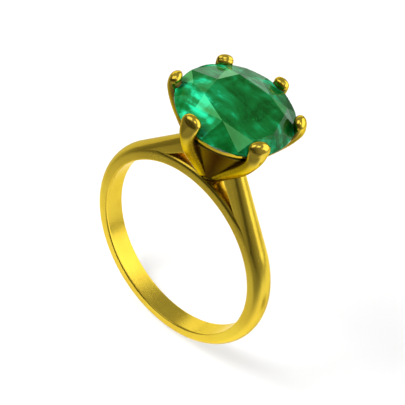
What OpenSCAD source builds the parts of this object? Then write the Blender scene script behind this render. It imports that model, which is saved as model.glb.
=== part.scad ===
// Six-claw cathedral solitaire ring: a D-section hoop with a bridge under the
// head, two soldered cathedral shoulders, a pegged cup head and a round stone.
// X runs across the hoop, Y along the finger, Z from the finger hole to the stone.
// The origin is the centre of the finger hole. Lengths are millimetres.

/* [Hoop] */
// Radius of the finger hole
bore_r = 8.5; // [7.5:0.1:11]
// Width of the hoop along the finger
band_w = 2.1; // [1.6:0.1:3.6]
// Thickness of the hoop at its sides
band_t = 1.4; // [1.3:0.02:2.2]
// How much thicker the hoop is at the top than at the sides
band_rise = 0.1; // [0:0.01:0.4]
// Height of the domed part of the hoop's outer face
dome_h = 0.55; // [0.4:0.05:0.9]
// Chamfer that eases the two edges of the finger hole
edge_ease = 0.12; // [0.05:0.01:0.25]
// Thickness of the bridge that runs under the head
bridge_t = 1.1; // [0.9:0.05:1.2]

/* [Shoulders] */
// Angle above the X axis where a shoulder leaves the hoop
shoulder_angle = 40; // [34:1:46]
// Width of a shoulder where it reaches the head
shoulder_tip_w = 1.3; // [0.9:0.1:1.8]
// Depth of a shoulder where it leaves the hoop
shoulder_root_d = 1.0; // [0.8:0.05:1.3]
// Depth of a shoulder where it reaches the head
shoulder_tip_d = 1.9; // [1.5:0.1:2.4]

/* [Head] */
// Height of the stone's girdle above the top of the bridge
girdle_rise = 7.65; // [6.5:0.05:9.2]
// Radius of the peg that pins the head to the bridge
peg_r = 0.5; // [0.35:0.05:0.7]
// Gap between the peg and its hole, filled by solder
peg_gap = 0.02; // [0.01:0.01:0.05]
// Radius of the head's cup where it meets the bridge
base_r = 0.95; // [0.8:0.05:1.05]
// How far below the girdle the cup's rim ends
cup_drop = 1.65; // [1.5:0.05:3]
// How far in from the girdle the cup's rim stands
cup_inset = 1.18; // [1:0.02:1.4]
// Wall of the cup
cup_wall = 0.4; // [0.3:0.02:0.44]
// Solid floor of the cup above the bridge
cup_floor = 0.9; // [0.5:0.05:1.5]
// How far the gallery rail's outside stands in from the girdle
rail_inset = 0.28; // [0.15:0.01:0.5]
// Wall of the gallery rail
rail_wall = 0.5; // [0.35:0.05:0.8]
// Height of the gallery rail
rail_h = 0.7; // [0.6:0.05:1.2]

/* [Claws] */
// How far a claw stands out past the girdle
claw_reach = 0.74; // [0.6:0.02:1]
// Width of a claw's shaft
claw_w = 1.1; // [0.8:0.05:1.4]
// Width of a claw's folded tip
claw_tip_w = 1.8; // [1.3:0.05:2.1]
// How far the tips rise above the girdle
claw_tip_rise = 1.4; // [1.1:0.05:1.7]

/* [Stone] */
// Radius of the stone at its girdle
stone_r = 5.04; // [4.4:0.01:6.1]
// Radius of the flat table
table_r = 3.4; // [2.6:0.05:3.6]
// How far the star facets reach from the table's edge towards the girdle
star_reach = 0.66; // [0.45:0.01:0.75]
// Height of the crown above the girdle
crown_h = 1.05; // [1:0.05:1.5]
// Depth of the pavilion below the girdle
pavilion_h = 4.2; // [3.6:0.1:4.6]
// Thickness of the girdle
girdle_t = 0.2; // [0.1:0.02:0.4]
// Turn of the facets about the stone's axis
stone_turn = 17; // [0:1:44]

/* [Hidden] */
gold = [0.86, 0.74, 0.25];
emerald = [0.06, 0.45, 0.22];
smooth = 96;                      // segments on round work
hull_smooth = 20;                 // segments on the beads inside a hull
eps = 0.01;
far = 40;                         // longer than the whole ring

outer_r = bore_r + band_t;
bridge_r = bore_r + bridge_t;
dome_r = (pow(band_w / 2, 2) + pow(dome_h, 2)) / (2 * dome_h);
girdle_z = bridge_r + girdle_rise;
facets = 8;                       // main facets around the stone
claw_count = 6;
// Each claw's own bearing, how much lower than the highest its tip was folded, and the
// size of its tip as a share of the largest, all as the setter left them
claw_turn = [34, 88, 147, 207, 266, 332];
claw_low = [0.15, 0.55, 0.6, 0.15, 0, 0];
claw_size = [0.84, 0.8, 0.82, 0.88, 0.96, 1];

// ---- shared shapes ----

// A cylinder along the finger axis
module finger_cylinder(r, length) {
    rotate([90, 0, 0]) cylinder(r = r, h = length, center = true, $fn = smooth * 2);
}

// A prism along the finger axis from an outline in X and Z
module side_prism(points, length) {
    rotate([90, 0, 0]) translate([0, 0, -length / 2]) linear_extrude(length) polygon(points);
}

// The D-section: straight walls, then a round dome of height dome_h
module d_section(r_out, half_w) {
    dome_centre = r_out - dome_r;
    translate([bore_r - 1, -half_w]) square([band_t + 1 - dome_h + r_out - outer_r, 2 * half_w]);
    intersection() {
        translate([dome_centre, 0]) circle(r = dome_r, $fn = smooth);
        translate([r_out - dome_h - eps, -half_w]) square([dome_h + 2 * eps, 2 * half_w]);
    }
}

// The wedge above the hoop's sides where the shoulders take over from the dome
module shoulder_wedge() {
    translate([0, 0, band_rise])
        side_prism([[0, 0], [far * cos(shoulder_angle), far * sin(shoulder_angle)],
                    [-far * cos(shoulder_angle), far * sin(shoulder_angle)]], far);
}

// ---- hoop ----

module shank() {
    color(gold) difference() {
        translate([0, 0, band_rise]) rotate([90, 0, 0])
            rotate_extrude($fn = smooth * 2) d_section(outer_r, band_w / 2);
        difference() {
            shoulder_wedge();
            finger_cylinder(bridge_r, far + 2);
        }
        finger_cylinder(bore_r, far);
        for (side = [0, 180]) rotate([90, 0, side])
            translate([0, 0, band_w / 2 - edge_ease])
                cylinder(r1 = bore_r, r2 = bore_r + 2 * edge_ease, h = 2 * edge_ease,
                         $fn = smooth * 2);
        cylinder(r = peg_r + peg_gap, h = far, $fn = smooth);
    }
}

// ---- shoulders ----

// The shoulder's outer face runs straight off the hoop, tangent at shoulder_angle
root = [outer_r * cos(shoulder_angle), band_rise + outer_r * sin(shoulder_angle)];
run = [-sin(shoulder_angle), cos(shoulder_angle)];
shoulder_len = (root[0] - 1.2) / sin(shoulder_angle);

// One thin slice across the shoulder, its dome outwards
module shoulder_slice(along, width, depth) {
    translate([root[0] + along * run[0], 0, root[1] + along * run[1]])
        rotate([0, -shoulder_angle, 0]) rotate([0, 0, -90])
            linear_extrude(eps) slice_outline(width, depth);
}

// Outline of a slice: X is across the finger, Y points away from the hoop
module slice_outline(width, depth) {
    rise = dome_h * width / band_w;
    bend = (pow(width / 2, 2) + pow(rise, 2)) / (2 * rise);
    translate([-width / 2, -depth]) square([width, depth - rise]);
    intersection() {
        translate([0, -bend]) circle(r = bend, $fn = 48);
        translate([-width / 2, -depth]) square([width, depth]);
    }
}

module right_shoulder() {
    difference() {
        hull() {
            shoulder_slice(0, band_w, shoulder_root_d);
            shoulder_slice(shoulder_len, shoulder_tip_w, shoulder_tip_d);
        }
        finger_cylinder(bridge_r, far);
        cup_space();
    }
}

module shoulder_right() {
    color(gold) right_shoulder();
}

module shoulder_left() {
    color(gold) mirror([1, 0, 0]) right_shoulder();
}

// ---- head ----

base_z = bridge_r;                              // where the cup sits
cup_h = girdle_rise - cup_drop;
cup_top_r = stone_r - cup_inset;
cup_slope = (cup_top_r - base_r) / cup_h;
rail_r = stone_r - rail_inset;
rail_top = girdle_z - girdle_t / 2;

// The cup and a little space around it, which the shoulders stop short of
module cup_space() {
    translate([0, 0, base_z - 1])
        cylinder(r1 = base_r + 0.15 - cup_slope, r2 = cup_top_r + 0.15, h = cup_h + 1,
                 $fn = smooth);
}

module cup_outside() {
    difference() {
        translate([0, 0, base_z - 0.2])
            cylinder(r1 = base_r - 0.2 * cup_slope, r2 = cup_top_r, h = cup_h + 0.2,
                     $fn = smooth);
        finger_cylinder(bridge_r, far);
    }
}

module head_base() {
    color(gold) difference() {
        union() {
            cup_outside();
            translate([0, 0, bore_r + peg_gap])
                cylinder(r = peg_r, h = bridge_t + 0.3, $fn = smooth);
        }
        translate([0, 0, base_z + cup_floor])
            cylinder(r1 = base_r + cup_floor * cup_slope - cup_wall,
                     r2 = cup_top_r + eps * cup_slope - cup_wall,
                     h = cup_h - cup_floor + eps, $fn = smooth);
    }
}

module rail_solid() {
    difference() {
        translate([0, 0, rail_top - rail_h])
            cylinder(r1 = rail_r - 0.15, r2 = rail_r, h = rail_h, $fn = smooth);
        translate([0, 0, rail_top - rail_h - eps])
            cylinder(r = rail_r - rail_wall - 0.15, h = rail_h + 1, $fn = smooth);
    }
}

module gallery_rail() {
    color(gold) difference() {
        rail_solid();
        stone_solid();
    }
}

// ---- claws ----

// Stations up a claw: radius, height, half width, half thickness, ridge standing out.
// They run from the foot up the side of the cup to the girdle, and fold over the crown.
outline_r = stone_r + claw_reach;
claw_foot = [1.0, base_z + 0.45];
claw_knee = [outline_r - 0.62, girdle_z - 0.35];
claw_span = claw_knee - claw_foot;
function stations(rise, wide, deep) = [
    [claw_foot[0], claw_foot[1], 0.42 * claw_w, 0.32, 0.14],
    [claw_foot[0] + 0.4 * claw_span[0], claw_foot[1] + 0.38 * claw_span[1],
     0.46 * claw_w, 0.40, 0.16],
    [claw_foot[0] + 0.83 * claw_span[0], claw_foot[1] + 0.78 * claw_span[1],
     0.52 * claw_w, 0.48, 0.12],
    [claw_knee[0], claw_knee[1], 0.62 * claw_w, 0.56, 0.06],
    [outline_r - 0.66, girdle_z + 0.45 * rise, 0.48 * wide, 0.60 * deep, 0],
    [outline_r - 0.86, girdle_z + rise - 0.50 * deep, 0.45 * wide, 0.52 * deep, 0]
];
claw_lean = atan2(claw_span[0], claw_span[1]);

// A bead of the claw with a small ridge on its outer side
module claw_bead(s) {
    translate([s[0], 0, s[1]]) scale([s[3], s[2], s[3]]) sphere(r = 1, $fn = hull_smooth);
    if (s[4] > 0)
        translate([s[0] + (s[3] + s[4] - 0.15) * cos(claw_lean), 0,
                   s[1] - (s[3] + s[4] - 0.15) * sin(claw_lean)])
            sphere(r = 0.15, $fn = 12);
}

module claw_shaft(i) {
    path = stations(claw_tip_rise - claw_low[i], claw_size[i] * claw_tip_w,
                    0.35 + 0.65 * claw_size[i]);
    for (k = [0 : len(path) - 2]) hull() {
        claw_bead(path[k]);
        claw_bead(path[k + 1]);
    }
}

// The wedge of space that belongs to claw i, halfway to each neighbour
module claw_space(i) {
    before = (claw_turn[(i + claw_count - 1) % claw_count] - (i == 0 ? 360 : 0) + claw_turn[i]) / 2;
    after = (claw_turn[(i + 1) % claw_count] + (i == claw_count - 1 ? 360 : 0) + claw_turn[i]) / 2;
    linear_extrude(far) polygon([[0, 0], [far * cos(before), far * sin(before)],
                                 [far * cos(claw_turn[i]), far * sin(claw_turn[i])],
                                 [far * cos(after), far * sin(after)]]);
}

module claw(i) {
    color(gold) difference() {
        intersection() {
            rotate([0, 0, claw_turn[i]]) claw_shaft(i);
            claw_space(i);
        }
        finger_cylinder(bridge_r, far);
        cup_outside();
        rail_solid();
        stone_solid();
        right_shoulder();
        mirror([1, 0, 0]) right_shoulder();
    }
}

module claw_right_back() { claw(0); }
module claw_back() { claw(1); }
module claw_left_back() { claw(2); }
module claw_left_front() { claw(3); }
module claw_front() { claw(4); }
module claw_right_front() { claw(5); }

// ---- stone ----

// A round brilliant: eight kites, eight stars, sixteen upper and sixteen lower
// halves, and eight pavilion mains that meet at the culet.
step = 360 / facets;
girdle_top = girdle_z + girdle_t / 2;
girdle_low = girdle_z - girdle_t / 2;
kite_slope = crown_h / (stone_r - table_r);
star_r = table_r * cos(step / 2) + star_reach * (stone_r - table_r * cos(step / 2));
star_z = girdle_top + crown_h - (star_r * cos(step / 2) - table_r) * kite_slope;
main_slope = pavilion_h / stone_r;
half_r = 0.24 * stone_r;
half_z = girdle_low - pavilion_h + half_r * cos(step / 2) * main_slope;

function ring_at(r, z, count, turn) =
    [for (i = [0 : count - 1]) [r * cos(turn + i * 360 / count), r * sin(turn + i * 360 / count), z]];

stone_points = concat(
    ring_at(table_r, girdle_top + crown_h, facets, 0),
    ring_at(star_r, star_z, facets, step / 2),
    ring_at(stone_r, girdle_top, 2 * facets, 0),
    ring_at(stone_r, girdle_low, 2 * facets, 0),
    ring_at(half_r, half_z, facets, step / 2),
    [[0, 0, girdle_low - pavilion_h]]);
t0 = 0;                           // first point of the table
s0 = facets;                      // of the star tips
g0 = 2 * facets;                  // of the girdle's upper edge
l0 = 4 * facets;                  // of the girdle's lower edge
h0 = 6 * facets;                  // of the lower halves' inner tips
culet = 7 * facets;

stone_faces = concat(
    [[for (i = [facets - 1 : -1 : 0]) t0 + i]],
    [for (i = [0 : facets - 1]) let (n = (i + 1) % facets) [t0 + i, t0 + n, s0 + i]],
    [for (i = [0 : facets - 1]) [t0 + i, s0 + i, g0 + 2 * i]],
    [for (i = [0 : facets - 1]) let (p = (i + facets - 1) % facets)
        [t0 + i, g0 + 2 * i, s0 + p]],
    [for (i = [0 : facets - 1]) [s0 + i, g0 + 2 * i + 1, g0 + 2 * i]],
    [for (i = [0 : facets - 1]) [s0 + i, g0 + (2 * i + 2) % (2 * facets), g0 + 2 * i + 1]],
    [for (i = [0 : 2 * facets - 1]) let (n = (i + 1) % (2 * facets))
        [g0 + i, g0 + n, l0 + n, l0 + i]],
    [for (i = [0 : facets - 1]) [l0 + 2 * i, l0 + 2 * i + 1, h0 + i]],
    [for (i = [0 : facets - 1]) [l0 + 2 * i + 1, l0 + (2 * i + 2) % (2 * facets), h0 + i]],
    [for (i = [0 : facets - 1]) [l0 + 2 * i, h0 + i, culet]],
    [for (i = [0 : facets - 1]) let (p = (i + facets - 1) % facets)
        [l0 + 2 * i, culet, h0 + p]]);

module stone_solid() {
    rotate([0, 0, stone_turn]) polyhedron(stone_points, stone_faces, convexity = 2);
}

module stone() {
    color(emerald) stone_solid();
}

shank();
shoulder_left();
shoulder_right();
head_base();
gallery_rail();
claw_right_back();
claw_back();
claw_left_back();
claw_left_front();
claw_front();
claw_right_front();
stone();
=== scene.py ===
import math

import bpy
import numpy as np
from mathutils import Matrix, Vector


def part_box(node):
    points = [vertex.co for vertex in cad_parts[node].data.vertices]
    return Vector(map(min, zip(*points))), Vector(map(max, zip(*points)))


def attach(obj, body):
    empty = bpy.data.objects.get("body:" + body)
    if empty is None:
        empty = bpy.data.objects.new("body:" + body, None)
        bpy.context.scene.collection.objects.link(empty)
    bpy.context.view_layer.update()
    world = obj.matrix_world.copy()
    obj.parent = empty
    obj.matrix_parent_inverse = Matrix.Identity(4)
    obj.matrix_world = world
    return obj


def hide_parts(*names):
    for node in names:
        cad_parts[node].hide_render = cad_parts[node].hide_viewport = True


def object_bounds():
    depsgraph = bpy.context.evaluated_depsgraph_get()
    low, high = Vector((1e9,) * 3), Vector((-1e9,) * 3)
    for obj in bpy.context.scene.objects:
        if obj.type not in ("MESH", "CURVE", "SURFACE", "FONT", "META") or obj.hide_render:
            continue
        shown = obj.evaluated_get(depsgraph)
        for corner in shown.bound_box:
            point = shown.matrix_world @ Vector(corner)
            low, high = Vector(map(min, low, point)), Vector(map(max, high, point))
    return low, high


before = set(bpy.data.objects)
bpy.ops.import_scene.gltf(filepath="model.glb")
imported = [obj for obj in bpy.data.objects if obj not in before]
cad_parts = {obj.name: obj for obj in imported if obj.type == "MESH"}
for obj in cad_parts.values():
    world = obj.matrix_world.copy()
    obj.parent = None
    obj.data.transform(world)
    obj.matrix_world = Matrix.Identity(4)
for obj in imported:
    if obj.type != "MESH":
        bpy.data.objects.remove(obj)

cad_low, cad_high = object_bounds()
MM = 0.001

# ---------------------------------------------------------------------------
# The hoop: yellow gold, drawn as D-section wire, bent round a mandrel and
# soldered. Its back is domed and its finger side flat with eased edges, and it
# is filed thinner under the head, where it becomes the bridge.
# ---------------------------------------------------------------------------
hoop_low, hoop_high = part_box("shank")
BORE = 8.5 * MM                                   # radius of the finger hole
BAND = hoop_high.y - hoop_low.y                   # width along the finger
SIDE_R = (hoop_high.x - hoop_low.x) / 2           # outer radius at the sides
RISE = hoop_low.z + SIDE_R                        # centre of the outer circle
BRIDGE = 9.6 * MM                                 # outer radius of the bridge
DOME = 0.55 * MM                                  # height of the domed back
EASE = 0.13 * MM                                  # radius of the eased inner edges
FLATTER = 0.62                                    # share of the dome lost on the bridge
BRIDGE_HALF = (24, 34)                            # degrees from the top where it ends
GOLD_COLOUR = (0.80, 0.59, 0.058, 1.0)


def grid_piece(name, points, close_v=False, caps=False):
    """A mesh from a grid of points, rows v by columns u. Each square of the grid is one
    face, and the last column joins the first; close_v joins the last row to the first, and
    caps adds one polygon over each open end row."""
    rows, cols, _ = points.shape
    v = np.arange(rows if close_v else rows - 1)[:, None]
    u = np.arange(cols)[None, :]
    a = v * cols + u
    b = v * cols + (u + 1) % cols
    c = (v + 1) % rows * cols + (u + 1) % cols
    d = (v + 1) % rows * cols + u
    faces = np.stack([a, b, c, d], axis=-1).reshape(-1, 4).tolist()
    if caps:
        faces.append(list(range(cols))[::-1])
        faces.append(list(range((rows - 1) * cols, rows * cols)))
    mesh = bpy.data.meshes.new(name)
    mesh.from_pydata(points.reshape(-1, 3).tolist(), [], faces)
    mesh.polygons.foreach_set("use_smooth", [True] * len(mesh.polygons))
    mesh.update()
    piece = bpy.data.objects.new(name, mesh)
    bpy.context.collection.objects.link(piece)
    return piece


def face_outwards(piece):
    """Turns every face of a closed piece to point outwards: the signed volume, one sixth
    of the sum of each corner triple product, is made positive."""
    mesh = piece.data
    mesh.calc_loop_triangles()
    places = np.empty(3 * len(mesh.vertices), dtype=np.float32)
    mesh.vertices.foreach_get("co", places)
    corners = np.empty(3 * len(mesh.loop_triangles), dtype=np.int32)
    mesh.loop_triangles.foreach_get("vertices", corners)
    a, b, c = places.reshape(-1, 3).astype(float)[corners.reshape(-1, 3)].swapaxes(0, 1)
    if (a * np.cross(b, c)).sum() < 0:
        mesh.flip_normals()
    return piece


def smooth_step(low, high, x):
    """0 below low, 1 above high, and the cubic 3t^2 - 2t^3 between."""
    t = np.clip((x - low) / (high - low), 0, 1)
    return t * t * (3 - 2 * t)


def rounded_loop(half_w, inner, outer, dome, ease, count=64):
    """Closed D-sections, one to a row, as arrays of distance across and radius: a flat
    inner side with corners of radius ease, walls, and a back that falls from outer by a
    circular dome. Over 1.6 times the dome's height below its top, the walls lean in to it
    along a quarter of an ellipse."""
    half_w, inner, outer, dome = (v[:, None] for v in np.broadcast_arrays(half_w, inner, outer, dome))
    q = np.linspace(0, 1, count // 4, endpoint=False)
    corner = q * math.pi / 2
    corner_x = half_w - ease + ease * np.sin(corner)
    corner_r = inner + ease * (1 - np.cos(corner))
    bend = (half_w ** 2 + dome ** 2) / (2 * dome)
    lip = 0.90 * np.arcsin(np.minimum(0.999, half_w / bend))
    lip_x = bend * np.sin(lip)
    lip_r = outer - bend + bend * np.cos(lip)
    wall_r = inner + ease + (lip_r - inner - ease) * np.linspace(0, 1, count // 8, endpoint=False)[1:]
    lean = np.clip((wall_r - outer + 1.6 * dome) / (lip_r - outer + 1.6 * dome), 0, 1)
    wall_x = lip_x + (half_w - lip_x) * np.sqrt(1 - lean ** 2)
    back_angle = lip * (1 - 2 * q)
    across = [corner_x, wall_x, bend * np.sin(back_angle), -wall_x[:, ::-1], -corner_x[:, ::-1],
              (ease - half_w) * (1 - 2 * q)]
    radius = [corner_r, wall_r, outer - bend + bend * np.cos(back_angle), wall_r[:, ::-1],
              corner_r[:, ::-1], inner + 0 * q]
    return np.concatenate(across, axis=1), np.concatenate(radius, axis=1)


def hoop_surface(rows=360):
    """The band: at each angle round the finger axis, the D-section stands on the finger
    hole. Its outer radius is that of a circle centred RISE above the axis, eased down to
    the bridge on both sides of the head."""
    angle = np.linspace(0, 2 * math.pi, rows, endpoint=False)
    full = RISE * np.sin(angle) + np.sqrt(SIDE_R ** 2 - (RISE * np.cos(angle)) ** 2)
    from_top = np.abs(np.degrees(np.arctan2(np.cos(angle), np.sin(angle))))
    bridge = 1 - smooth_step(*BRIDGE_HALF, from_top)
    outer = full + (BRIDGE - full) * bridge
    across, radius = rounded_loop(BAND / 2, BORE, outer, DOME * (1 - FLATTER * bridge), EASE)
    angle = angle[:, None]
    return np.stack([radius * np.cos(angle), across, radius * np.sin(angle)], -1)


def effect_group(name, inputs, outputs):
    """An empty shader node group with named sockets, each given as (name, type, value)."""
    group = bpy.data.node_groups.new(name, "ShaderNodeTree")
    for label, kind, value in inputs:
        socket = group.interface.new_socket(label, in_out="INPUT", socket_type=kind)
        socket.default_value = value
    for label, kind in outputs:
        group.interface.new_socket(label, in_out="OUTPUT", socket_type=kind)
    return group, group.nodes.new("NodeGroupInput"), group.nodes.new("NodeGroupOutput")


def node(tree, kind, settings=(), **values):
    """Adds a node, sets its own settings, and sets or links its sockets by name, or by
    number, written _0, where a name is used twice."""
    made = tree.nodes.new(kind)
    for key, value in settings:
        setattr(made, key, value)
    for key, value in values.items():
        socket = made.inputs[int(key[1:])] if key[0] == "_" else made.inputs[key.replace("_", " ")]
        if isinstance(value, bpy.types.NodeSocket):
            tree.links.new(value, socket)
        else:
            socket.default_value = value
    return made


def maths(tree, operation, *values):
    """The result of a Math node on the given values or sockets."""
    sockets = {f"_{i}": value for i, value in enumerate(values)}
    return node(tree, "ShaderNodeMath", [("operation", operation)], **sockets).outputs["Value"]


def mix_colour(tree, share, start, end):
    """The colour that goes from start to end as share goes from 0 to 1."""
    return node(tree, "ShaderNodeMix", [("data_type", "RGBA")], _0=share, _6=start, _7=end).outputs[2]


def make_polish_group():
    """Polished metal's small faults: a fine cast grain, long polishing lines and broad
    patches where the buff ran warmer. A point attribute holds painted shade, 1 deep in
    the hollows: there the colour goes to a dark brown shade and the metal is rougher.
    Puts out a colour, a roughness and a height."""
    group, given, out = effect_group(
        "worn polish",
        [("Colour", "NodeSocketColor", GOLD_COLOUR), ("Deep colour", "NodeSocketColor", GOLD_COLOUR),
         ("Grain size", "NodeSocketFloat", 9000.0), ("Roughness", "NodeSocketFloat", 0.15),
         ("Spread", "NodeSocketFloat", 0.08), ("Recess colour", "NodeSocketColor", GOLD_COLOUR)],
        [("Colour", "NodeSocketColor"), ("Roughness", "NodeSocketFloat"), ("Height", "NodeSocketFloat")])
    place = node(group, "ShaderNodeTexCoord")
    grain = node(group, "ShaderNodeTexNoise", Vector=place.outputs["Object"],
                 Scale=given.outputs["Grain size"], Detail=3.0, Roughness=0.65)
    patch = node(group, "ShaderNodeTexNoise", Vector=place.outputs["Object"], Scale=320.0, Detail=2.0)
    squeeze = node(group, "ShaderNodeMapping", Vector=place.outputs["Object"],
                   Scale=(600.0, 9000.0, 600.0))
    lines = node(group, "ShaderNodeTexNoise", Vector=squeeze.outputs["Vector"], Scale=1.0, Detail=2.0)
    patch_mask = node(group, "ShaderNodeMapRange", Value=patch.outputs["Fac"],
                      From_Min=0.35, From_Max=0.68, To_Min=0.0, To_Max=1.0)
    # painted shade: 1 deep in hollows and beside the stone, where the colour below turns dark brown
    recess = node(group, "ShaderNodeAttribute", [("attribute_name", "recess")])
    colour = mix_colour(group, patch_mask.outputs["Result"], given.outputs["Colour"],
                        given.outputs["Deep colour"])
    shaded_colour = mix_colour(group, recess.outputs["Fac"], colour, given.outputs["Recess colour"])
    wear = maths(group, "MULTIPLY", grain.outputs["Fac"], lines.outputs["Fac"])
    gloss = maths(group, "MULTIPLY_ADD", wear, given.outputs["Spread"], given.outputs["Roughness"])
    rough = maths(group, "MULTIPLY_ADD", recess.outputs["Fac"], 0.18, gloss)
    height = maths(group, "MULTIPLY_ADD", lines.outputs["Fac"], 0.3, grain.outputs["Fac"])
    group.links.new(shaded_colour, out.inputs["Colour"])
    group.links.new(rough, out.inputs["Roughness"])
    group.links.new(height, out.inputs["Height"])
    return group


def new_finish(name):
    """An empty material, with its node tree and its shader."""
    material = bpy.data.materials.new(name)
    material.use_nodes = True
    return material, material.node_tree, material.node_tree.nodes["Principled BSDF"]


polish = make_polish_group()


def gold_finish(name, deep, tint, roughness, spread, grain, bump):
    """Solid yellow gold: a metal whose colour, gloss and fine relief come from the polish
    group, with the values of this piece. tint is its colour seen edge-on."""
    material, tree, shader = new_finish(name)
    shader.inputs["Metallic"].default_value = 1.0
    shader.inputs["Specular Tint"].default_value = tint
    # The last colour is the dark brown of the painted shade in hollows.
    faults = node(tree, "ShaderNodeGroup", [("node_tree", polish)], Colour=GOLD_COLOUR,
                  Deep_colour=deep, Grain_size=grain, Roughness=roughness, Spread=spread,
                  Recess_colour=(0.105, 0.077, 0.028, 1.0))
    relief = node(tree, "ShaderNodeBump", Strength=bump, Distance=0.01 * MM,
                  Height=faults.outputs["Height"])
    tree.links.new(faults.outputs["Colour"], shader.inputs["Base Color"])
    tree.links.new(faults.outputs["Roughness"], shader.inputs["Roughness"])
    tree.links.new(relief.outputs["Normal"], shader.inputs["Normal"])
    return material


band_gold = gold_finish("buffed band gold", deep=(0.72, 0.50, 0.045, 1.0), tint=(0.92, 0.85, 0.5, 1.0),
                        roughness=0.19, spread=0.20, grain=8000.0, bump=0.7)
hoop = face_outwards(grid_piece("hoop", hoop_surface(), close_v=True))
hoop.data.materials.append(band_gold)
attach(hoop, "root")
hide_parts("shank")

# ---------------------------------------------------------------------------
# The cathedral shoulders: two tapered gold arms, filed to a dome on the back
# and flat on the sides. Each is soldered along the hoop and runs straight off
# it to the head, which leaves a small three-cornered window over the bridge.
# ---------------------------------------------------------------------------
LEAVE = math.radians(40)                          # where an arm leaves the hoop
ARM_TIP_W = 1.3 * MM
ARM_TIP_D = 1.9 * MM
ARM_ROOT_D = 1.0 * MM
SUNK_START = 1.6 * MM                             # how far back inside the band it starts
SUNK_END = 0.9 * MM                               # how far along it stands clear of the band
SUNK_DEPTH = 0.09 * MM                            # how deep its hidden end lies
SUNK_SIDE = 0.03 * MM                             # how far in its hidden end's sides lie
root_x = SIDE_R * math.cos(LEAVE)
root_z = RISE + SIDE_R * math.sin(LEAVE)
ARM_LEN = (root_x - 1.2 * MM) / math.sin(LEAVE)


def arm_surface(side, rows=90):
    """A shoulder: D-sections are carried along the straight line that leaves the hoop at
    LEAVE, from SUNK_START inside the band to the head. A section is as wide as the band at
    the hoop and tapers evenly to the head; inside the band it sinks below the surface."""
    s = np.linspace(-SUNK_START, ARM_LEN, rows)
    t = np.clip(s / ARM_LEN, 0, 1)
    width = BAND + (ARM_TIP_W - BAND) * t
    depth = ARM_ROOT_D + (ARM_TIP_D - ARM_ROOT_D) * t
    sunk = np.maximum(0, SUNK_END - s) / (SUNK_START + SUNK_END)
    dip = np.where(s < 0, 0.5 * s * s / SIDE_R, 0) + SUNK_DEPTH * sunk ** 2
    across, height = rounded_loop(width / 2 - SUNK_SIDE * sunk, -depth, -dip,
                                  DOME * width / BAND, ease=0.10 * MM, count=48)
    middle_x = (root_x - s * math.sin(LEAVE))[:, None]
    middle_z = (root_z + s * math.cos(LEAVE))[:, None]
    return np.stack([side * (middle_x + height * math.cos(LEAVE)), across,
                     middle_z + height * math.sin(LEAVE)], -1)


for side, node_name in ((1, "shoulder_right"), (-1, "shoulder_left")):
    arm = face_outwards(grid_piece(node_name + "_arm", arm_surface(side), caps=True))
    arm.data.materials.append(band_gold)
    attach(arm, "root")
    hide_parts(node_name)

# ---------------------------------------------------------------------------
# The cup: the cast gold body of the head, fluted outside so that a ridge runs up
# to each claw with a valley between. Its peg goes through the bridge and is
# soldered from inside the finger hole.
# ---------------------------------------------------------------------------
PEG_R = 0.5 * MM
FOOT_R = 0.95 * MM
GIRDLE_Z = BRIDGE + 7.65 * MM
STONE_R = 5.04 * MM
CUP_TOP = GIRDLE_Z - 1.65 * MM
CUP_TOP_R = STONE_R - 1.18 * MM
CUP_WALL = 0.40 * MM
CUP_FLOOR = BRIDGE + 0.9 * MM
EDGE = 0.06 * MM                                  # how far the peg's end and the lip are eased
AXIS_R = 0.02 * MM                                # where its surface stops short of the axis
RIDGE = 0.46 * MM                                 # from a valley to a ridge of the fluting
VALLEY = 0.16 * MM                                # how far a valley is pulled in
# Each claw's bearing in degrees, how many mm lower than the highest it was folded, the width
# and thickness of its tip as shares of the largest, and how many mm further out it stands
CLAWS = (("claw_right_back", 34, 0.20, 0.84, 0.82, 0.0),
         ("claw_back", 88, 0.66, 0.74, 0.68, 0.06),
         ("claw_left_back", 144, 0.84, 0.78, 0.70, 0.06),
         ("claw_left_front", 207, 0.32, 0.80, 0.64, 0.10),
         ("claw_front", 266, 0.0, 0.96, 0.97, 0.0),
         ("claw_right_front", 332, 0.0, 1.0, 1.0, 0.0))
cup_slope = (CUP_TOP_R - FOOT_R) / (CUP_TOP - BRIDGE)
bearings = np.radians([claw[1] for claw in CLAWS])


def ridge_share(angle):
    """1 at a claw's bearing and 0 halfway to the next claw, by (1 - d)^1.6 where d is the
    angle from the nearest claw as a share of half the gap it is in."""
    turn = np.mod(angle[:, None] - bearings[None, :] + math.pi, 2 * math.pi) - math.pi
    near = np.abs(turn).argmin(1)
    off = turn[np.arange(len(angle)), near]
    onward = np.mod(np.roll(bearings, -1) - bearings, 2 * math.pi) / 2
    back = np.mod(bearings - np.roll(bearings, 1), 2 * math.pi) / 2
    half = np.where(off > 0, onward[near], back[near])
    return (1 - np.clip(np.abs(off) / half, 0, 1)) ** 1.6


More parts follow.
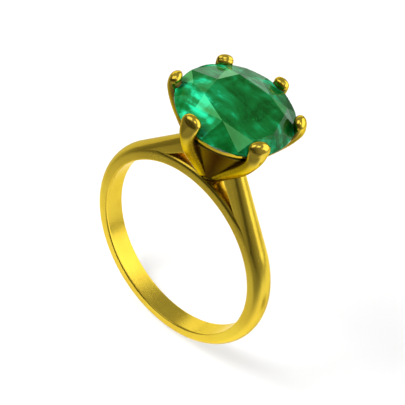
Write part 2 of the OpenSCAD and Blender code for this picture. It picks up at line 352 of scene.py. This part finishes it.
def cup_surface(count=240):
    """The cup: an outline turned round the Z axis. Outside the foot its radius is the
    cone's, pulled in by VALLEY between the claws and rising by RIDGE towards each. The
    second result is painted shade: most in the valleys and inside, half low on the peg."""
    angle = np.linspace(0, 2 * math.pi, count, endpoint=False)
    up = np.linspace(0, 1, 24)
    seat = BRIDGE - 0.10 * MM
    wall_z = seat + (CUP_TOP - seat) * up
    wall_r = FOOT_R + np.maximum(wall_z - BRIDGE, 0) * cup_slope
    inside_r = FOOT_R + (CUP_FLOOR - BRIDGE) * cup_slope - CUP_WALL
    radius = np.concatenate([[AXIS_R, PEG_R - EDGE, PEG_R, PEG_R], wall_r,
                             [CUP_TOP_R - 2 * EDGE, CUP_TOP_R - CUP_WALL + EDGE,
                              CUP_TOP_R - CUP_WALL, inside_r, AXIS_R]])
    height = np.concatenate([[BORE + EDGE / 2, BORE + EDGE / 2, BORE + 1.5 * EDGE, seat], wall_z,
                             [CUP_TOP + 0.05 * MM, CUP_TOP + EDGE / 2, CUP_TOP - EDGE,
                              CUP_FLOOR, CUP_FLOOR]])
    share = np.concatenate([np.zeros(4), np.sin(np.clip(up * 1.25, 0, 1) * math.pi / 2),
                            [0.9, 0, 0, 0, 0]])[:, None]
    ridge = ridge_share(angle)[None, :]
    r = radius[:, None] + share * (RIDGE * ridge - VALLEY)
    z = np.repeat(height[:, None], count, axis=1)
    # painted shade: full in the valleys and inside the cup, less on the ridges, half low down
    shade = np.where(z < BRIDGE + 0.2 * MM, 0.5, np.clip(1 - 0.55 * ridge * share, 0, 1))
    return np.stack([r * np.cos(angle), r * np.sin(angle), z], -1), shade


def mark_painted_shade(piece, values):
    """Stores how much painted shade each point gets, 0 to 1: most in hollows and between parts."""
    layer = piece.data.attributes.new("recess", "FLOAT", "POINT")
    layer.data.foreach_set("value", np.asarray(values, dtype=np.float32).ravel())


head_gold = gold_finish("polished head gold", deep=(0.68, 0.48, 0.06, 1.0), tint=(0.28, 0.22, 0.11, 1.0),
                        roughness=0.14, spread=0.14, grain=12000.0, bump=0.2)
cup_points, cup_shade = cup_surface()
cup = face_outwards(grid_piece("head_cup", cup_points, close_v=True))
mark_painted_shade(cup, cup_shade)
cup.data.materials.append(head_gold)
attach(cup, "root")
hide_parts("head_base")

# ---------------------------------------------------------------------------
# The gallery rail: a thin turned ring of gold that ties the claws together just
# under the girdle. The stone rests on the slope inside its top edge.
# ---------------------------------------------------------------------------
stone_low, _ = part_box("stone")
FACETS = 8                                        # mains round the point, and corners of the table
GIRDLE_T = 0.2 * MM
PAVILION = GIRDLE_Z - GIRDLE_T / 2 - stone_low.z  # depth of the stone under the girdle
RAIL_R = STONE_R - 0.28 * MM
RAIL_TOP = GIRDLE_Z - GIRDLE_T / 2
RAIL_H = 0.70 * MM
RAIL_WALL = 0.50 * MM
RAIL_LEAN = 0.15 * MM                             # how far in its lower edge is
half_step = math.pi / FACETS


def turned(name, profile, count=192):
    """A turned piece: a profile of (radius, height) pairs carried round the Z axis."""
    profile = np.array(profile)
    angle = np.linspace(0, 2 * math.pi, count, endpoint=False)
    points = np.stack([profile[:, 0, None] * np.cos(angle), profile[:, 0, None] * np.sin(angle),
                       np.repeat(profile[:, 1, None], count, axis=1)], axis=-1)
    return face_outwards(grid_piece(name, points, close_v=True))


def rounded_outline(corners, radius, steps=6):
    """A closed outline through corners, each corner replaced by a short quadratic curve
    that starts and ends at most radius away from it."""
    corners = np.array(corners)
    before = np.roll(corners, 1, axis=0)
    after = np.roll(corners, -1, axis=0)
    t = np.linspace(0, 1, steps)[None, :, None]

    def toward(other):
        span = np.linalg.norm(other - corners, axis=1, keepdims=True)
        return corners + (other - corners) / span * np.minimum(radius, span * 0.45)

    start, end, mid = toward(before)[:, None], toward(after)[:, None], corners[:, None]
    return ((1 - t) ** 2 * start + 2 * t * (1 - t) * mid + t ** 2 * end).reshape(-1, 2)


def pavilion_radius(z):
    """Radius of the stone at height z below the girdle, on its eight flats."""
    return (z - stone_low.z) / PAVILION * STONE_R * math.cos(half_step)


rail_low = RAIL_TOP - RAIL_H
rail_outline = [(RAIL_R - RAIL_LEAN, rail_low), (RAIL_R, RAIL_TOP - 0.02 * MM),
                (RAIL_R - 0.14 * MM, RAIL_TOP - 0.02 * MM),
                (pavilion_radius(RAIL_TOP - 0.3 * MM), RAIL_TOP - 0.3 * MM),
                (RAIL_R - RAIL_LEAN - RAIL_WALL, rail_low)]
rail = turned("gallery_rail_ring", rounded_outline(rail_outline, 0.12 * MM))
rail.data.materials.append(head_gold)
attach(rail, "root")
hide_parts("gallery_rail")

# ---------------------------------------------------------------------------
# The six claws: tapered gold wires filed to a ridge on the outside. Each stands
# on a ridge of the cup, is notched where the girdle sits, and its end is pushed
# over the crown and rounded with a cup burr.
# ---------------------------------------------------------------------------
CLAW_REACH = 0.74 * MM
CLAW_W = 1.1 * MM
TIP_W = 1.8 * MM
TIP_RISE = 1.4 * MM
TIP_DEEP = 0.60 * MM                              # half thickness of the largest tip
CLOSING = 0.84                                    # share of the path where the end starts to close
BLUNT = 2.1                                       # power of the end's outline; 2 is a half circle
CROWN = 1.05 * MM
TABLE_Z = GIRDLE_Z + GIRDLE_T / 2 + CROWN
# The corners of the stone's table, as bearings in degrees and distances from the axis
TABLE_TURN = np.radians([-132, -73, -33, -5, 32, 68, 134, 180])
TABLE_OUT = np.array([2.89, 3.13, 4.50, 4.13, 3.74, 2.79, 2.89, 2.55]) * MM
edge_r = STONE_R + CLAW_REACH
foot = np.array([1.0 * MM, BRIDGE + 0.45 * MM])
knee = np.array([edge_r - 0.62 * MM, GIRDLE_Z - 0.35 * MM])


def spline(keys, t):
    """A smooth curve through rows of keys at even steps, by Catmull-Rom: each stretch is
    the cubic whose slope at a key is half the difference of its neighbours."""
    keys = np.array(keys, float)
    padded = np.vstack([2 * keys[0] - keys[1], keys, 2 * keys[-1] - keys[-2]])
    x = np.clip(t, 0, 1) * (len(keys) - 1)
    i = np.minimum(x.astype(int), len(keys) - 2)
    f = (x - i)[:, None]
    a, b, c, d = padded[i], padded[i + 1], padded[i + 2], padded[i + 3]
    return b + 0.5 * f * (c - a + f * (2 * a - 5 * b + 4 * c - d + f * (3 * (b - c) + d - a)))


def table_radius(bearing):
    """How far out the table's outline is at a bearing, between its corners."""
    turn = np.mod(TABLE_TURN, 2 * math.pi)
    order = np.argsort(turn)
    return np.interp(bearing % (2 * math.pi), turn[order], TABLE_OUT[order], period=2 * math.pi)


def out_of_stone(points, bearing):
    """Moves points that are inside the stone to its surface: the signed distance to the
    table, the crown, the girdle and the pavilion at this bearing is taken at each, and a
    point inside all four is pushed along the nearest one's normal. This is the seat."""
    crown_slope = CROWN / (STONE_R - table_radius(bearing))
    r = np.hypot(points[..., 0], points[..., 1])
    z = points[..., 2]
    walls = []
    for height, slope in ((CROWN, crown_slope), (-PAVILION, -PAVILION / STONE_R)):
        n = np.array([abs(slope), math.copysign(1.0, height)]) / math.hypot(slope, 1)
        start = GIRDLE_Z + math.copysign(GIRDLE_T / 2, height)
        walls.append((n, n[0] * STONE_R + n[1] * start))
    walls.append((np.array([1.0, 0.0]), STONE_R))
    walls.append((np.array([0.0, 1.0]), TABLE_Z))
    distance = np.stack([n[0] * r + n[1] * z - c for n, c in walls])
    nearest = distance.argmax(0)
    push = np.where(distance.max(0) < 0, -distance.max(0), 0.0)
    normals = np.array([n for n, _ in walls])[nearest]
    scale = (r + normals[..., 0] * push) / np.maximum(r, 1e-9)
    return np.stack([points[..., 0] * scale, points[..., 1] * scale, z + normals[..., 1] * push], -1)


def claw_surface(turn, low, wide, thick, out, rows=110, cols=56):
    """A claw: a section is carried up a smooth path in the plane at angle turn, through
    keys of distance out, height, half width, half thickness and p. The section is
    |x|^p + |y|^p = 1; on the outer side p is low on the shaft, which gives it a ridge with
    two flat flanks, and rises to a full round at the tip. A thin tip hooks further in. The
    end closes by the same law with p = BLUNT, and rows crowd towards it. The second result
    is painted shade: on the flanks low on the shaft and on the side next to the stone."""
    tip = TIP_RISE - low * MM
    half_tip = TIP_W / 2 * wide
    deep = TIP_DEEP * thick
    out_r = edge_r + (out - 0.02) * MM - deep
    hook = (1 - thick) * MM
    top = GIRDLE_Z + tip
    low_shaft = foot + (0.40, 0.38) * (knee - foot)
    high_shaft = foot + (0.80, 0.75) * (knee - foot)
    keys = [(*foot, 0.42 * CLAW_W, 0.34 * MM, 1.25),
            (*low_shaft, 0.52 * CLAW_W, 0.56 * MM, 1.2),
            (*high_shaft, 0.56 * CLAW_W, 0.66 * MM, 1.3),
            (*knee, 0.66 * CLAW_W, 0.62 * MM, 1.6),
            (out_r, GIRDLE_Z + 0.45 * tip, half_tip, deep, 2.0),
            (out_r - 0.10 * MM - 0.4 * hook, top - 0.46 * MM + 0.3 * hook,
             half_tip, 0.97 * deep, 2.2),
            (out_r - 0.18 * MM - 1.1 * hook, top + 0.06 * MM - 0.6 * hook,
             0.92 * half_tip, 0.90 * deep, 2.1)]
    t = 1 - (1 - np.linspace(0, 1, rows)) ** 1.9
    path = spline(keys, t)
    slope = np.gradient(path[:, :2], axis=0)
    slope /= np.linalg.norm(slope, axis=1)[:, None]
    close = (1 - np.clip((t - CLOSING) / (1 - CLOSING), 0, 1) ** BLUNT) ** (1 / BLUNT)
    u = np.linspace(0, 2 * math.pi, cols, endpoint=False)[None, :]
    power = np.where(np.sin(u) < 0, path[:, 4][:, None], 2.0)
    reach = (np.abs(np.cos(u)) ** power + np.abs(np.sin(u)) ** power) ** (-1 / power)
    across = np.cos(u) * reach * (path[:, 2] * close)[:, None]
    inward = np.sin(u) * reach * (path[:, 3] * close)[:, None]
    r = path[:, 0][:, None] - inward * slope[:, 1][:, None]
    z = path[:, 1][:, None] + inward * slope[:, 0][:, None]
    a = math.radians(turn)
    points = np.stack([r * math.cos(a) - across * math.sin(a),
                       r * math.sin(a) + across * math.cos(a), z], -1)
    # painted shade: the flanks low on the shaft and the side facing the stone are darkened
    low_down = 1 - smooth_step(0.45, 0.72, t)[:, None]
    flank = smooth_step(-0.93, -0.35, np.sin(u)) * low_down
    shade = np.clip(0.70 * flank + 0.5 * smooth_step(-0.1, 0.8, np.sin(u)), 0, 1)
    return out_of_stone(points, a), shade


claw_gold = gold_finish("burnished claw gold", deep=(0.72, 0.52, 0.065, 1.0), tint=(0.60, 0.51, 0.27, 1.0),
                        roughness=0.11, spread=0.16, grain=12000.0, bump=0.2)
for name, turn, *tip_sizes in CLAWS:
    claw_points, claw_shade = claw_surface(turn, *tip_sizes)
    claw = face_outwards(grid_piece(name + "_wire", claw_points, caps=True))
    mark_painted_shade(claw, claw_shade)
    claw.data.materials.append(claw_gold)
    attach(claw, "root")
    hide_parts(name)

# ---------------------------------------------------------------------------
# The stone: a round mixed-cut emerald, ground flat facet by facet on a lap. Stars,
# kites and upper halves go round its table; under the girdle, lower halves and
# eight mains run to a point. It sits on the rail, and the claws hold it down.
# ---------------------------------------------------------------------------
# The cut, facet by facet: the tips of the stars and the kites' ends on the girdle, as
# bearings in degrees and distances from the axis
STAR_TURN = np.radians([-114, -45, -20, 15, 54, 102, 146, 203])
STAR_OUT = np.array([3.74, 4.93, 4.80, 4.65, 4.20, 4.00, 4.12, 3.90]) * MM
KITE_TURN = np.radians([-136, -80, -34, -3, 34, 78, 124, 181])
# How light the stone is behind each star, half kite and upper half, as painted light, and
# how pale the face of a star or upper half is with the sky it mirrors, as a painted reflection
STAR_PAINTED_LIGHT = [1.0, -0.6, 0.0, 0.2, 0.1, 0.3, 0.2, -0.3]
STAR_PAINTED_REFLECTION = [0.30, 0.38, 0.15, 0.0, 0.45, 0.0, 0.50, 0.12]
KITE_PAINTED_LIGHT = [-0.4, -0.2, 0.9, -0.3, -0.3, 0.4, 0.3, -0.3, -0.2, 0.1, 0.5, -0.2, 0.0, 0.1, -0.3, -0.4]
HALF_PAINTED_LIGHT = [0.4, 0.9, 0.0, -0.2, 0.2, 0.3, 0.9, -0.3, 0.0, 0.0, 0.3, -0.3, -0.1, 0.2, -0.1, -0.3]
HALF_PAINTED_REFLECTION = [0, 0, 0, 0, 0, 0, 0, 0, 0, 0, 0, 0, 0, 0, 0.5, 0]
# How light the stone is behind the table, as painted light
TABLE_PAINTED_LIGHT = -0.4
ARC = 6                                           # steps of the girdle along one half


def on_circle(radius, turn, height):
    """Points at the given bearings, distances from the Z axis and heights."""
    turn, radius, height = np.broadcast_arrays(turn, radius, height)
    return np.stack([radius * np.cos(turn), radius * np.sin(turn), height], -1)


def girdle_edge(tips, bearings, height):
    """One edge of the girdle. Each half facet is the plane through its tip and two points
    of the round girdle at this height; between them the edge is where the plane meets the
    girdle's cylinder, a shallow arc."""
    start = on_circle(STONE_R, bearings, height)
    end = np.roll(start, -1, axis=0)
    normal = np.cross(start - tips, end - tips)
    span = np.mod(np.roll(bearings, -1) - bearings, 2 * math.pi)
    turn = bearings[:, None] + span[:, None] * np.arange(ARC) / ARC
    edge = on_circle(STONE_R, turn, height)
    slip = ((edge - start[:, None]) * normal[:, None]).sum(2) / normal[:, 2, None]
    edge[:, :, 2] -= slip
    return edge.reshape(-1, 3)


def cut_stone(name):
    """The gem. A star's tip is on the straight fall from the middle of its table edge to
    the girdle; a kite runs from its table corner between two star tips to the girdle; the
    upper and lower halves meet the girdle under the star tips and the kites' ends; and the
    eight mains run from the kites' ends to the culet. Each facet is one face, or two."""
    i = np.arange(FACETS)
    table = on_circle(TABLE_OUT, TABLE_TURN, TABLE_Z)
    middle = (table + np.roll(table, -1, axis=0)) / 2
    middle_r = np.hypot(middle[:, 0], middle[:, 1])
    top = GIRDLE_Z + GIRDLE_T / 2
    stars = on_circle(STAR_OUT, STAR_TURN, top + CROWN * (STONE_R - STAR_OUT) / (STONE_R - middle_r))
    inner_r = 0.24 * STONE_R
    inner = on_circle(inner_r, STAR_TURN,
                      stone_low.z + inner_r * math.cos(half_step) * PAVILION / STONE_R)
    bearings = np.stack([KITE_TURN, STAR_TURN], 1).ravel()
    upper = girdle_edge(np.repeat(stars, 2, axis=0), bearings, top)
    lower = girdle_edge(np.repeat(inner, 2, axis=0), bearings, GIRDLE_Z - GIRDLE_T / 2)
    points = np.concatenate([table, stars, upper, lower, inner, [[0, 0, stone_low.z]]])
    rim = len(upper)
    star = FACETS + i
    kite = 2 * FACETS + 2 * ARC * i
    deep = 2 * FACETS + 2 * rim + i
    culet = len(points) - 1
    k = np.arange(2 * FACETS)
    arc = (ARC * k[:, None] + np.arange(ARC + 1)) % rim + 2 * FACETS
    j = np.arange(rim)
    onward = (j + 1) % rim
    stars_f = np.stack([i, star, (i + 1) % FACETS], 1)
    kites_f = np.stack([i, np.roll(star, 1), kite, i, kite, star], 1).reshape(-1, 3)
    upper_f = np.column_stack([np.repeat(star, 2), arc])
    girdle_f = np.stack([j + rim, onward + rim, onward, j], 1) + 2 * FACETS
    lower_f = np.column_stack([np.repeat(deep, 2), arc[:, ::-1] + rim])
    mains_f = np.stack([culet + 0 * i, deep, kite + rim, np.roll(deep, 1)], 1)
    parts = [i[None, :], stars_f, kites_f, upper_f, girdle_f, lower_f, mains_f]
    mesh = bpy.data.meshes.new(name)
    mesh.from_pydata(points.tolist(), [], [face for part in parts for face in part.tolist()])
    rest = np.zeros(rim + 3 * FACETS)
    # Per face: painted light behind each facet, and a painted reflection of the sky on some
    facet_painted_light = np.concatenate([[TABLE_PAINTED_LIGHT], STAR_PAINTED_LIGHT, KITE_PAINTED_LIGHT, HALF_PAINTED_LIGHT, rest])
    painted_reflection = np.concatenate([[0], STAR_PAINTED_REFLECTION, np.zeros(2 * FACETS), HALF_PAINTED_REFLECTION, rest])
    for label, value in (("facet_painted_light", facet_painted_light), ("painted_reflection", painted_reflection)):
        layer = mesh.attributes.new(label, "FLOAT", "FACE")
        layer.data.foreach_set("value", value.astype(np.float32))
    gem = bpy.data.objects.new(name, mesh)
    bpy.context.collection.objects.link(gem)
    return face_outwards(gem)


def emerald_finish():
    """A clear green gem with wisps: the body colour shifts between deep green and teal in
    cloudy patches and fine silk, so light that goes through it comes out uneven. Each
    facet's colour is also moved by painted light, and some facets are paled by a painted
    reflection of the sky."""
    material, tree, shader = new_finish("cut emerald")
    shader.inputs["Transmission Weight"].default_value = 0.32
    shader.inputs["IOR"].default_value = 1.58
    shader.inputs["Roughness"].default_value = 0.0
    shader.inputs["Specular IOR Level"].default_value = 0.08
    shader.inputs["Specular Tint"].default_value = (0.30, 1.0, 0.38, 1)
    place = node(tree, "ShaderNodeTexCoord")
    cloud = node(tree, "ShaderNodeTexNoise", Vector=place.outputs["Object"], Scale=330.0, Detail=4.0,
                 Roughness=0.6, Distortion=0.8)
    silk_place = node(tree, "ShaderNodeMapping", Vector=place.outputs["Object"],
                      Rotation=(0.3, 0.2, 0.15), Scale=(260.0, 1500.0, 900.0))
    silk = node(tree, "ShaderNodeTexNoise", Vector=silk_place.outputs["Vector"], Scale=1.0, Detail=3.0)
    wisps = maths(tree, "MULTIPLY_ADD", silk.outputs["Fac"], 0.46, cloud.outputs["Fac"])
    # painted light behind each facet shifts its colour along the ramp
    facet_painted_light = node(tree, "ShaderNodeAttribute", [("attribute_name", "facet_painted_light")])
    both = maths(tree, "MULTIPLY_ADD", facet_painted_light.outputs["Fac"], 0.10, wisps)
    ramp = node(tree, "ShaderNodeValToRGB", Fac=both)
    stops = ramp.color_ramp.elements
    stops[0].position, stops[0].color = 0.54, (0.002, 0.070, 0.007, 1)
    stops[1].position, stops[1].color = 0.96, (0.02, 0.85, 0.42, 1)
    deep = stops.new(0.70)
    deep.color = (0.004, 0.135, 0.022, 1)
    middle = stops.new(0.82)
    middle.color = (0.006, 0.24, 0.065, 1)
    # painted reflection of the sky: pales the faces it marks towards a light green
    painted_reflection = node(tree, "ShaderNodeAttribute", [("attribute_name", "painted_reflection")])
    body = mix_colour(tree, painted_reflection.outputs["Fac"], ramp.outputs["Color"], (0.13, 0.48, 0.15, 1))
    tree.links.new(body, shader.inputs["Base Color"])
    return material


gem = cut_stone("emerald_stone")
gem.data.materials.append(emerald_finish())
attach(gem, "root")
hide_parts("stone")

# ---------------------------------------------------------------------------
# The studio: a white table that the hoop stands on, soft boxes above and beside
# it, and a camera close in front that looks down on the head.
# ---------------------------------------------------------------------------
FLOOR_HALF = 600 * MM
floor_z = cad_low.z
MIRRORED_SHADE_Y = (-22 * MM, 1 * MM)                  # Y over which the table as mirrored in the gold goes from painted shade to light
MIRRORED_SHADE_X = (-26 * MM, -10 * MM)                  # X over which the table as mirrored in the gold goes from painted shade to light
PAINTED_DARK_SPOT = (29 * MM, 9 * MM, floor_z)            # a painted dark spot on the table, seen only in the gold as a painted reflection
SPOT_EDGE = (3 * MM, 8 * MM)                      # its soft edge, from the middle of the spot
corners = [(-FLOOR_HALF, -FLOOR_HALF, floor_z), (FLOOR_HALF, -FLOOR_HALF, floor_z),
           (FLOOR_HALF, FLOOR_HALF, floor_z), (-FLOOR_HALF, FLOOR_HALF, floor_z)]


def fade(tree, value, start, end, low, high):
    """A smooth change from low to high as value goes from start to end."""
    return node(tree, "ShaderNodeMapRange", [("interpolation_type", "SMOOTHSTEP")], Value=value,
                From_Min=start, From_Max=end, To_Min=low, To_Max=high).outputs["Result"]


floor_mesh = bpy.data.meshes.new("table_top")
floor_mesh.from_pydata(corners, [], [(0, 1, 2, 3)])
floor = bpy.data.objects.new("table_top", floor_mesh)
bpy.context.collection.objects.link(floor)
floor_paint, floor_tree, floor_shader = new_finish("white card")
floor_shader.inputs["Roughness"].default_value = 0.8
floor_shader.inputs["Emission Color"].default_value = (1, 1, 1, 1)
floor_ray = node(floor_tree, "ShaderNodeLightPath")
floor_place = node(floor_tree, "ShaderNodeTexCoord")
floor_axes = node(floor_tree, "ShaderNodeSeparateXYZ", Vector=floor_place.outputs["Object"])
floor_spot = node(floor_tree, "ShaderNodeVectorMath", [("operation", "DISTANCE")],
                  _0=floor_place.outputs["Object"], _1=PAINTED_DARK_SPOT)
# Rays that are not from the camera, such as the gold's reflections, see the table with painted shade:
# darker towards the camera side, on the left and in the dark spot. The camera sees a plain white table
# with a glow.
floor_shade_y = fade(floor_tree, floor_axes.outputs["Y"], *MIRRORED_SHADE_Y, low=0.17, high=0.86)
floor_shade_x = fade(floor_tree, floor_axes.outputs["X"], *MIRRORED_SHADE_X, low=0.55, high=1.0)
floor_dark_spot = fade(floor_tree, floor_spot.outputs["Value"], *SPOT_EDGE, low=0.2, high=1.0)
floor_shade_xy = maths(floor_tree, "MULTIPLY", floor_shade_x, floor_dark_spot)
floor_painted_reflection = maths(floor_tree, "MULTIPLY", floor_shade_xy, floor_shade_y)
floor_tone = node(floor_tree, "ShaderNodeMix", [("data_type", "FLOAT")],
                  _0=floor_ray.outputs["Is Camera Ray"], _2=floor_painted_reflection, _3=0.42)
floor_glow = maths(floor_tree, "MULTIPLY", floor_ray.outputs["Is Camera Ray"], 0.52)
floor_tree.links.new(floor_tone.outputs[0], floor_shader.inputs["Base Color"])
floor_tree.links.new(floor_glow, floor_shader.inputs["Emission Strength"])
floor.data.materials.append(floor_paint)

world = bpy.data.worlds.new("studio")
bpy.context.scene.world = world
world.use_nodes = True
world_tree = world.node_tree
backdrop = world_tree.nodes["Background"]
white_wall = node(world_tree, "ShaderNodeBackground", Color=(1, 1, 1, 1), Strength=1.1)
backdrop.inputs["Color"].default_value = (1, 1, 1, 1)
sky_place = node(world_tree, "ShaderNodeTexCoord")
toward = node(world_tree, "ShaderNodeVectorMath", [("operation", "DOT_PRODUCT")],
              _0=sky_place.outputs["Generated"], _1=(0.10, 0.99, 0.10))
wall_light = fade(world_tree, toward.outputs["Value"], -0.85, 0.35, low=0.06, high=0.36)
world_tree.links.new(wall_light, backdrop.inputs["Strength"])
ray = node(world_tree, "ShaderNodeLightPath")
blend = node(world_tree, "ShaderNodeMixShader", _0=ray.outputs["Is Camera Ray"],
             _1=backdrop.outputs["Background"], _2=white_wall.outputs["Background"])
world_tree.links.new(blend.outputs["Shader"], world_tree.nodes["World Output"].inputs["Surface"])


def soft_box(name, azimuth, elevation, distance, size, radiance, in_gold=True):
    """A rectangular light aimed at the ring from the given angles, its distance and size in
    metres. Its power is pi times its area times the brightness it shows, radiance, and
    in_gold says whether metal mirrors it."""
    a, e = math.radians(azimuth), math.radians(elevation)
    place = Vector((math.cos(e) * math.cos(a), math.cos(e) * math.sin(a), math.sin(e))) * distance
    data = bpy.data.lights.new(name, "AREA")
    data.shape = "RECTANGLE"
    data.size, data.size_y = size
    data.energy = math.pi * size[0] * size[1] * radiance
    lamp = bpy.data.objects.new(name, data)
    lamp.location = place
    lamp.rotation_euler = (-place).to_track_quat("-Z", "Y").to_euler()
    lamp.visible_camera = False
    lamp.visible_glossy = in_gold
    bpy.context.collection.objects.link(lamp)


soft_box("right window", azimuth=57, elevation=33, distance=0.30, size=(0.46, 0.27), radiance=1.35)
soft_box("left card", azimuth=137, elevation=8, distance=0.30, size=(0.30, 0.12), radiance=1.0)
soft_box("side box", azimuth=-165, elevation=52, distance=0.30, size=(0.18, 0.20), radiance=1.2)
soft_box("top card", azimuth=20, elevation=84, distance=0.30, size=(0.12, 0.12), radiance=1.3)
soft_box("scrim", azimuth=-130, elevation=44, distance=0.32, size=(0.14, 0.14), radiance=24.0,
         in_gold=False)

CAMERA_DISTANCE = 120 * MM
CAMERA_AIM = Vector((-1.0909, 2.7698, 2.8403)) * MM
CAMERA_AZIMUTH = math.radians(-61.8757)           # from the X axis, seen from above
CAMERA_ELEVATION = math.radians(46.1538)
CAMERA_ROLL = math.radians(22.1206)
CAMERA_FIELD = 0.298637                           # the view's width over its distance
camera_back = Vector((math.cos(CAMERA_ELEVATION) * math.cos(CAMERA_AZIMUTH),
                      math.cos(CAMERA_ELEVATION) * math.sin(CAMERA_AZIMUTH),
                      math.sin(CAMERA_ELEVATION)))
level_right = Vector((-math.sin(CAMERA_AZIMUTH), math.cos(CAMERA_AZIMUTH), 0))
level_up = camera_back.cross(level_right)
camera_right = level_right * math.cos(CAMERA_ROLL) + level_up * math.sin(CAMERA_ROLL)
camera_up = camera_back.cross(camera_right)
camera_data = bpy.data.cameras.new("camera")
camera_data.sensor_width = 36
camera_data.lens = camera_data.sensor_width / CAMERA_FIELD
camera_data.clip_start = 0.005
camera_data.clip_end = 10
camera = bpy.data.objects.new("camera", camera_data)
camera_turn = Matrix((camera_right, camera_up, camera_back)).transposed()
camera_place = CAMERA_AIM + camera_back * CAMERA_DISTANCE
camera.matrix_world = Matrix.Translation(camera_place) @ camera_turn.to_4x4()
bpy.context.collection.objects.link(camera)
bpy.context.scene.camera = camera
bpy.context.scene.view_settings.view_transform = "Standard"
